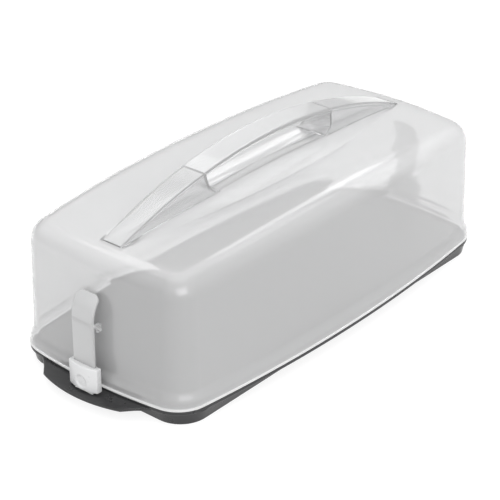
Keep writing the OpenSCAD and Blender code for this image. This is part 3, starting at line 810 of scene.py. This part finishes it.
class CARRIER_OT_handle(bpy.types.Operator):
    """Builds the arched carry handle with its hollow cheeks and curved webs"""
    bl_idname = "carrier.handle"
    bl_label = "Handle"

    def execute(self, context):
        s = sizes()
        h, material = Handle(s), handle_material()
        strap = grown("handle_strap", strap_tree(), {
            "Half Length": s["grip_x"] * MM, "Rise": s["grip_rise"] * MM, "End Height": h.end_z * MM,
            "Half Width": (s["strap_end"] + 0.3) * MM, "Swell": s["strap_swell"] * MM,
            "Thickness": s["strap_t"] * MM, "Material": material})
        finish_mesh(strap, 40)
        base = HAND_X + h.web_sweep
        steps = [HAND_X + h.web_sweep * math.sin(math.radians(a))
                 for a in (6, 12, 19, 26, 33, 40, 47, 54, 61, 68, 74, 80, 85, 88)]
        steps += [base + 0.15 + (s["grip_x"] - 1 - base - 0.15) * i / 40 for i in range(41)]
        for end in (-1, 1):
            cheek = new_piece("cheek", *swept([h.section(x, end) for x in steps]), material, 30)
            carved(strap, cheek, "UNION")
        handle = joined("arched_handle", [strap], 35)
        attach(handle, "hood")
        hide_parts("carry_handle")
        return {"FINISHED"}


# ---- Clips ----

# Millimetres and degrees: the pivot bead's radius and the tilt of the rib that carries it
BEAD_R, RIB_TILT = 1.3, 40


class Lever:
    """Places of a clip, for the end at +X."""

    def __init__(self, s):
        self.thick, pivot_h, tip_h, above, tip_gap = 1.9, 42.9, 66, 6, 1.5
        self.back = s["half_len"] - wall_in(s, s["cap_h"]) + 7.6
        self.pivot_x = s["half_len"] - wall_in(s, pivot_h) + BEAD_R + 1.26
        self.pivot_z = RIM_Z + pivot_h
        dx = self.back - (s["half_len"] - wall_in(s, tip_h)) - tip_gap
        dz = tip_h - pivot_h - above
        self.curl_a = 2 * math.atan(dx / dz)
        self.curl_r = dz / math.sin(self.curl_a)
        self.curl_z = self.pivot_z + above
        self.cap_back = s["half_len"] + 3
        self.cap_foot = RIM_Z - 0.9

    def on_curl(self, a):
        """A station on the curl of the strap's middle line: x, z and outward direction."""
        return (*arm((self.back - self.curl_r, self.curl_z), self.curl_r + self.thick / 2, a), a)

    def path(self, corner):
        """Stations up the strap, each with how much narrower it is: its tip has rounded corners."""
        foot, long_r = self.cap_foot + 3.2, self.curl_r + self.thick / 2
        stations = [(self.back + self.thick / 2, foot + (self.curl_z - foot) * i / 16, 0.0, 0.0) for i in range(16)]
        turns = [self.curl_a * i / 20 for i in range(21)]
        stations += [(*self.on_curl(a), 0.0) for a in turns if long_r * (self.curl_a - a) >= corner]
        for b in [math.radians(10 * i) for i in range(9)]:
            a = self.curl_a - corner * (1 - math.sin(b)) / long_r
            stations.append((*self.on_curl(a), corner * (1 - math.cos(b))))
        return stations


def rounded_section(half_w, half_t, r):
    """A rectangle with rounded corners, as (across, through) pairs."""
    r = min(r, half_t * 0.98, half_w * 0.98)
    return [arm((cx * (half_w - r), cy * (half_t - r)), r, math.radians(start + 90 * i / 4))
            for cx, cy, start in ((1, 1, 0), (-1, 1, 90), (-1, -1, 180), (1, -1, 270)) for i in range(5)]


def strap_sections(lever, half_w):
    """Cross-sections of the strap, up to its rounded tip."""
    def section(x, z, a, across, through, r):
        return [(x + v * math.cos(a), u, z + v * math.sin(a)) for u, v in rounded_section(across, through, r)]

    stations, half_t = lever.path(corner=4.0), lever.thick / 2
    sections = [section(x, z, a, half_w - narrow, half_t * (0.8 if i == len(stations) - 1 else 1), 0.75)
                for i, (x, z, a, narrow) in enumerate(stations)]
    x, z, a, narrow = stations[-1]
    for push, thin in ((0.45, 0.55), (0.62, 0.2)):
        sections.append(section(x - push * math.sin(a), z + push * math.cos(a), a, half_w - narrow - 0.3,
                                half_t * thin, 0.5))
    return sections


def bead_sections(lever, half_w):
    """Round cross-sections of the pivot bead, with eased ends."""
    ease = ((0, 0.6), (0.2, 0.2), (0.5, 0.02), (0.7, 0))
    widths = [(d - half_w, BEAD_R - cut) for d, cut in ease] + [(half_w - d, BEAD_R - cut) for d, cut in ease[::-1]]
    return [[(x, y, z) for x, z in [arm((lever.pivot_x, lever.pivot_z), r, math.radians(15 * i)) for i in range(24)]]
            for y, r in widths]


def rib_sections(lever, half_w):
    """Cross-sections of the tilted rib from the bead to the strap, flared where it meets the strap."""
    a, run = math.radians(RIB_TILT), lever.back + 0.6 - lever.pivot_x
    flared = (run - 1.6) / math.cos(a)
    sections = []
    for y, thin in ((0.1 - half_w, 0.5), (0.3 - half_w, 0.7), (half_w - 0.3, 0.7), (half_w - 0.1, 0.5)):
        ring = [(d * math.cos(a) - v * math.sin(a), d * math.sin(a) + v * math.cos(a))
                for d, v in ((0.3, -thin), (0.3, thin), (flared, thin), (flared, -thin))]
        ring[3:3] = [(run, run * math.tan(a) + v / math.cos(a)) for v in (thin + 0.9, -thin - 0.6)]
        sections.append([(lever.pivot_x + x, y, lever.pivot_z + z) for x, z in ring])
    return sections


def lever_parts(s, side, material):
    """The strap with its curled top, the pivot bead and the rib between them."""
    lever, half_w = Lever(s), s["lever_w"] / 2
    parts = []
    for name, sections, smooth_angle in (("lever_strap", strap_sections(lever, half_w), 35),
                                         ("bead", bead_sections(lever, half_w), 32),
                                         ("rib", rib_sections(lever, half_w), 32)):
        skin = swept([[(side * x, y, z) for x, y, z in ring] for ring in sections])
        parts.append(new_piece(name, *skin, material, smooth_angle))
    return parts


class CARRIER_OT_levers(bpy.types.Operator):
    """Builds the two clip levers with curled tops and pivot beads"""
    bl_idname = "carrier.levers"
    bl_label = "Levers"

    def execute(self, context):
        s = sizes()
        for side, name in ((-1, "front_clip"), (1, "rear_clip")):
            strap, bead, rib = lever_parts(s, side, lever_material())
            carved(carved(strap, bead, "UNION"), rib, "UNION")
            lever = joined(name + "_strap", [strap], 35)
            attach(lever, name)
            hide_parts(name + "_lever")
        return {"FINISHED"}


def cap_ring(s, lever, inset, z, dimple):
    """One level of the cap: straight back and sides, rounded edges and a bulged front."""
    half, bulge, depth, edge = s["cap_w"] / 2 - inset, 2.8, 4.2, 1.1
    r = bow_radius(s["cap_w"] / 2, bulge) - inset
    front = lever.cap_back + depth + bulge - inset
    back = lever.cap_back + inset
    side_x = front - r + math.sqrt(r * r - (half - edge) ** 2)
    dimple_z, dimple_r, dimple_flat, small = RIM_Z + 5.7, 5.2, 3.2, 0.6

    def corner(x, y, radius, start, steps, first=0):
        return [arm((x, y), radius, math.radians(start + 90 * i / steps)) for i in range(first, steps + 1)]

    ring = []
    for i in range(49):
        y = (half - edge) * (-1 + 2 * i / 48)
        x = front - r + math.sqrt(r * r - y * y)
        d = math.hypot(y, z - dimple_z)
        if d < dimple_r:
            x -= dimple * (0.5 + 0.5 * math.cos(math.pi * max(0.0, d - dimple_flat) / (dimple_r - dimple_flat)))
        ring.append((x, y))
    side_edge = corner(side_x - edge, half - edge, edge, 0, 5, 1)
    ring += side_edge + corner(back + small, half - small, small, 90, 4)
    ring += corner(back + small, small - half, small, 180, 4) + [(x, -y) for x, y in side_edge[::-1]]
    return [(x, y, z) for x, y in ring]


def cap_block(s, lever, side, material):
    """The bulged cap with its dimple and its eased edges, around a pocket for the lever's foot."""
    z0, z1, edge, dimple, play = lever.cap_foot, lever.cap_foot + s["cap_h"], 1.0, 0.9, 0.15
    turns = [math.radians(18 * i) for i in range(6)]
    eased = [(edge * (1 - math.cos(a)), edge * (1 - math.sin(a))) for a in turns]
    levels = [(inset, z0 + h) for inset, h in reversed(eased)]
    levels += [(0, z0 + edge + (z1 - z0 - 2 * edge) * i / 34) for i in range(1, 34)]
    levels += [(inset, z1 - h) for inset, h in eased]
    rings = [[(side * x, y, z) for x, y, z in cap_ring(s, lever, inset, z, dimple)] for inset, z in levels]
    middle = side * (lever.cap_back + 3)
    cap = new_piece("cap_block", *stacked(rings, (middle, 0, z0), (middle, 0, z1)), material, 40)
    pocket = block(side, lever.back - play, lever.back + lever.thick + play, s["lever_w"] / 2 + play, z0 + 3, z1 + 5)
    return carved(cap, pocket, smooth_angle=40)


def catch(s, lever, side, material):
    """The barb behind the cap that snaps under the tray's flange."""
    half, b, foot = 8, lever.cap_back, lever.cap_foot + 1
    tip_x, tip_z = s["half_len"] - FLANGE_IN - 1.2, FLANGE_Z - FLANGE_T - 0.3
    shape = [(tip_x, tip_z), (tip_x, tip_z - 0.7), (b + 0.3, tip_z - 2), (b + 1.8, tip_z - 2), (b + 2, foot),
             (b + 0.1, foot), (b + 0.1, tip_z)]
    return new_piece("catch", *swept([[(side * x, y, z) for x, z in shape] for y in (-half, half)]), material)


class CARRIER_OT_caps(bpy.types.Operator):
    """Builds the two clip caps with bulged fronts, thumb dimples and catches"""
    bl_idname = "carrier.caps"
    bl_label = "Caps"

    def execute(self, context):
        s = sizes()
        lever, material = Lever(s), cap_material()
        for side, name in ((-1, "front_clip"), (1, "rear_clip")):
            parts = [cap_block(s, lever, side, material), catch(s, lever, side, material)]
            piece = joined(name + "_grip", parts, 40)
            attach(piece, name)
            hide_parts(name + "_cap")
        return {"FINISHED"}


# ---- Studio ----

# Metres, watts; the strips run from one point to the next
OBJECT_MIDDLE = (0, 0, 0.1)
STRIPS = (("roll_softbox", (1.2, 0.25, 1.33), (1.2, -0.8, 1.25), 0.95, 1.0),
          ("far_strip", (1.54, 0.68, 1.19), (1.0, 0.68, 1.49), 0.3, 1.3),
          ("back_strip", (0.87, 0.88, 1.4), (0.87, 1.28, 1.4), 0.3, 0.35))
FLOOR_HALF, FLOOR_GLOW = 6.0, 0.84
SKY_EVEN, SKY_CHANGE, SKY_TOWARDS = 0.84, 0.5, (-0.15, -0.7, 1.1)
CAMERA_AT, CAMERA_AIM = (-0.9035, -0.7571, 0.6752), (0, 0, 0.0688)
CAMERA_LENS, CAMERA_SENSOR, CAMERA_SHIFT = 135.44, 36, (-0.0196, -0.0743)


def soft_light(name, place, target, size, power):
    """A rectangular lamp that looks at the target."""
    lamp = bpy.data.lights.new(name, "AREA")
    lamp.shape = "RECTANGLE"
    lamp.size, lamp.size_y = size
    lamp.energy = power
    ob = placed(name, lamp)
    ob.location = place
    return aimed(ob, target)


def aimed(ob, target):
    """Turns a lamp or a camera to look at the target."""
    ob.rotation_euler = (Vector(target) - ob.location).to_track_quat("-Z", "Y").to_euler()
    return ob


def strip_light(name, start, end, width, power):
    """A narrow lamp from one point to another that looks at the object."""
    start, end, middle = Vector(start), Vector(end), (Vector(start) + Vector(end)) / 2
    along = (end - start).normalized()
    across = (middle - Vector(OBJECT_MIDDLE)).cross(along).normalized()
    ob = soft_light(name, middle, OBJECT_MIDDLE, ((end - start).length, width), power)
    ob.rotation_euler = Matrix((along, across, along.cross(across))).transposed().to_euler()


def soft_surroundings(tree):
    """Pale studio walls, brighter above and on the camera's right and darker on its left."""
    sky = tree.nodes["Background"]
    sky.inputs["Color"].default_value = (1, 1, 1, 1)
    place = built(tree, "ShaderNodeTexCoord")
    towards = built(tree, "ShaderNodeVectorMath", {0: place.outputs["Generated"], 1: SKY_TOWARDS},
                    operation="DOT_PRODUCT")
    side = math_node(tree, "MULTIPLY", towards.outputs["Value"], SKY_CHANGE)
    tree.links.new(math_node(tree, "ADD", side, SKY_EVEN), sky.inputs["Strength"])


class CARRIER_OT_stage(bpy.types.Operator):
    """Sets the pale floor, the soft lights and the camera"""
    bl_idname = "carrier.stage"
    bl_label = "Studio"

    def execute(self, context):
        scene, half = context.scene, FLOOR_HALF
        mesh = bpy.data.meshes.new("floor")
        mesh.from_pydata([(-half, -half, 0), (half, -half, 0), (half, half, 0), (-half, half, 0)], [], [(0, 1, 2, 3)])
        paper = moulded_plastic("floor_paper", finish().floor, 0.9, grain=0.0, tint_change=0.01)
        glow = paper.node_tree.nodes["Principled BSDF"].inputs
        glow["Emission Color"].default_value = (1, 1, 1, 1)
        glow["Emission Strength"].default_value = FLOOR_GLOW
        painted(placed("floor", mesh), paper)
        scene.world = bpy.data.worlds.new("studio")
        scene.world.use_nodes = True
        soft_surroundings(scene.world.node_tree)
        soft_light("top_softbox", (0.3, 0.3, 1.9), (0, 0, 0), (2.0, 2.0), 12)
        soft_light("right_softbox", (-0.7, -1.15, 0.75), (-0.1, 0, 0.05), (1.0, 0.9), 5.5)
        for strip in STRIPS:
            strip_light(*strip)
        scene.cycles.caustics_reflective = False
        scene.cycles.caustics_refractive = False
        scene.view_settings.view_transform = "Standard"
        data = bpy.data.cameras.new("camera")
        data.sensor_width, data.lens = CAMERA_SENSOR, CAMERA_LENS
        data.shift_x, data.shift_y = CAMERA_SHIFT
        data.clip_end = 50
        scene.camera = placed("camera", data)
        scene.camera.location = CAMERA_AT
        aimed(scene.camera, CAMERA_AIM)
        return {"FINISHED"}


class CARRIER_PT_panel(bpy.types.Panel):
    bl_label = "Cake carrier"
    bl_idname = "CARRIER_PT_panel"
    bl_space_type = "VIEW_3D"
    bl_region_type = "UI"
    bl_category = "Cake carrier"

    def draw(self, context):
        for operator in STEPS:
            self.layout.operator(operator.bl_idname)
        for group in (context.scene.carrier_sizes, context.scene.carrier_finish):
            box = self.layout.box()
            for name in group.__annotations__:
                box.prop(group, name)


STEPS = (CARRIER_OT_stage, CARRIER_OT_tray, CARRIER_OT_hood, CARRIER_OT_handle, CARRIER_OT_levers, CARRIER_OT_caps)
CLASSES = (CarrierSizes, CarrierFinish) + STEPS + (CARRIER_PT_panel,)


def register():
    for cls in CLASSES:
        bpy.utils.register_class(cls)
    bpy.types.Scene.carrier_sizes = PointerProperty(type=CarrierSizes)
    bpy.types.Scene.carrier_finish = PointerProperty(type=CarrierFinish)


def unregister():
    del bpy.types.Scene.carrier_finish
    del bpy.types.Scene.carrier_sizes
    for cls in reversed(CLASSES):
        bpy.utils.unregister_class(cls)


def main():
    register()
    bpy.ops.carrier.stage()
    bpy.ops.carrier.tray()
    bpy.ops.carrier.hood()
    bpy.ops.carrier.handle()
    bpy.ops.carrier.levers()
    bpy.ops.carrier.caps()


if __name__ == "__main__":
    main()
